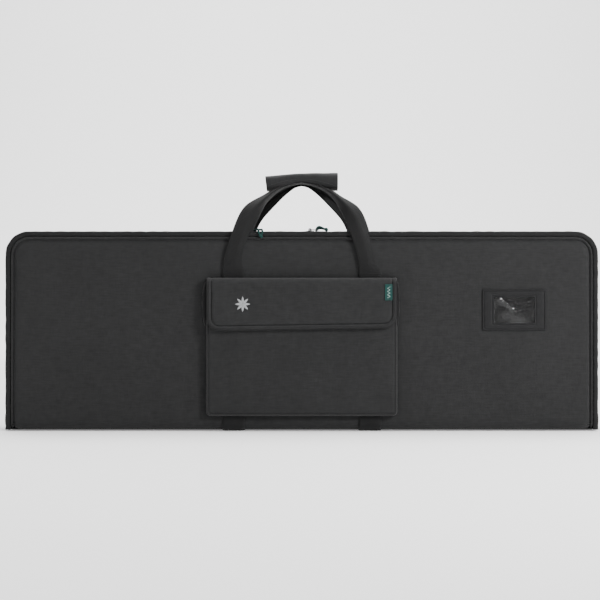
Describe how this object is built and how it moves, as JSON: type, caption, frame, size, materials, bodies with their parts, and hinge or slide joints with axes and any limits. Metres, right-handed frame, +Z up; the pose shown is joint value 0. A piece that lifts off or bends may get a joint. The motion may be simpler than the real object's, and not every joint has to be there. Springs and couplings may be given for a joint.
{
  "type": "telescope carry case",
  "caption": "Long flat padded fabric carry case, zipped on three sides, with a fold-down front cover, flap pocket, card holder and paired webbing handles in a wrap grip.",
  "frame": {"origin": "bottom centre of the whole object, on the ground the case stands on", "axes": "+X along the case to the right as seen from the front, +Y from the front cover to the back, +Z up"},
  "size_m": [1.016, 0.1309, 0.442],
  "materials": {
    "outer_fabric": "matte woven polyester with a coated back",
    "lining_cloth": "smooth nylon lining",
    "foam": "closed-cell foam padding",
    "binding_tape": "ribbed grosgrain tape",
    "zip_tape": "woven zip tape",
    "zip_coil": "nylon coil",
    "zip_metal": "black enamelled metal",
    "teal_cord": "braided cord",
    "teal_label": "woven satin label",
    "badge_thread": "silver-grey embroidery",
    "webbing": "ribbed polypropylene webbing",
    "hook_and_loop": "hook and loop",
    "holder_vinyl": "grained vinyl",
    "clear_vinyl": "clear vinyl"
  },
  "bodies": {
    "back_shell": {"back_panel_fabric": "outer_fabric", "back_panel_foam": "foam", "back_panel_lining": "lining_cloth", "side_fabric": "outer_fabric", "side_foam": "foam", "side_lining": "lining_cloth", "base_fabric": "outer_fabric", "base_foam": "foam", "base_lining": "lining_cloth", "back_binding": "binding_tape", "front_binding_ends": "binding_tape", "back_zip_tape": "zip_tape", "back_zip_coil": "zip_coil", "zip_end_tab_left": "outer_fabric", "zip_end_tab_right": "outer_fabric", "back_webbing_left": "webbing", "back_webbing_right": "webbing"},
    "front_cover": {"front_panel_fabric": "outer_fabric", "front_panel_foam": "foam", "front_panel_lining": "lining_cloth", "front_binding": "binding_tape", "front_zip_tape": "zip_tape", "front_zip_coil": "zip_coil", "front_webbing_left": "webbing", "front_webbing_right": "webbing", "pocket_side": "outer_fabric", "pocket_front": "outer_fabric", "pocket_hem": "lining_cloth", "pocket_loop_patches": "hook_and_loop", "flap_top_strip": "outer_fabric", "card_holder_frame": "holder_vinyl", "card_window": "clear_vinyl"},
    "pocket_flap": {"flap_fabric": "outer_fabric", "flap_lining": "lining_cloth", "flap_hook_patches": "hook_and_loop", "flap_binding": "binding_tape", "star_badge": "badge_thread", "woven_label": "teal_label"},
    "front_handle": {"front_handle_webbing": "webbing", "grip_padding": "foam", "grip_fabric": "outer_fabric", "grip_loop_strip": "hook_and_loop", "grip_hook_strip": "hook_and_loop"},
    "back_handle": {"back_handle_webbing": "webbing"},
    "slider_left": {"slider_left": "zip_metal"},
    "slider_right": {"slider_right": "zip_metal"},
    "pull_left": {"pull_tab_left": "zip_metal", "pull_cord_left": "teal_cord"},
    "pull_right": {"pull_tab_right": "zip_metal", "pull_cord_right": "teal_cord"}
  },
  "joints": [
    {"name": "cover_fold", "type": "hinge", "parent": "back_shell", "child": "front_cover", "pos_m": [0, -0.04685, 0.0183], "axis": [1, 0, 0], "range_deg": [0, 90]},
    {"name": "flap_fold", "type": "hinge", "parent": "front_cover", "child": "pocket_flap", "pos_m": [0, -0.06315, 0.259], "axis": [-1, 0, 0], "range_deg": [0, 165]},
    {"name": "front_handle_swing", "type": "hinge", "parent": "front_cover", "child": "front_handle", "pos_m": [0, -0.04875, 0.274], "axis": [-1, 0, 0], "range_deg": [-120, 0], "deforming": ["grip_fabric", "grip_padding", "grip_loop_strip", "grip_hook_strip"]},
    {"name": "back_handle_swing", "type": "hinge", "parent": "back_shell", "child": "back_handle", "pos_m": [0, 0.06385, 0.274], "axis": [-1, 0, 0], "range_deg": [0, 145]},
    {"name": "slider_left_run", "type": "slide", "parent": "back_shell", "child": "slider_left", "axis": [1, 0, 0], "range_m": [-0.361, 0.056]},
    {"name": "slider_right_run", "type": "slide", "parent": "back_shell", "child": "slider_right", "axis": [1, 0, 0], "range_m": [-0.058, 0.409]},
    {"name": "pull_left_swing", "type": "hinge", "parent": "slider_left", "child": "pull_left", "pos_m": [-0.092, -0.02545, 0.3431], "axis": [0, -1, 0], "range_deg": [0, 150], "deforming": ["pull_cord_left"]},
    {"name": "pull_right_swing", "type": "hinge", "parent": "slider_right", "child": "pull_right", "pos_m": [0.014, -0.02545, 0.3431], "axis": [0, -1, 0], "range_deg": [0, 150]}
  ]
}
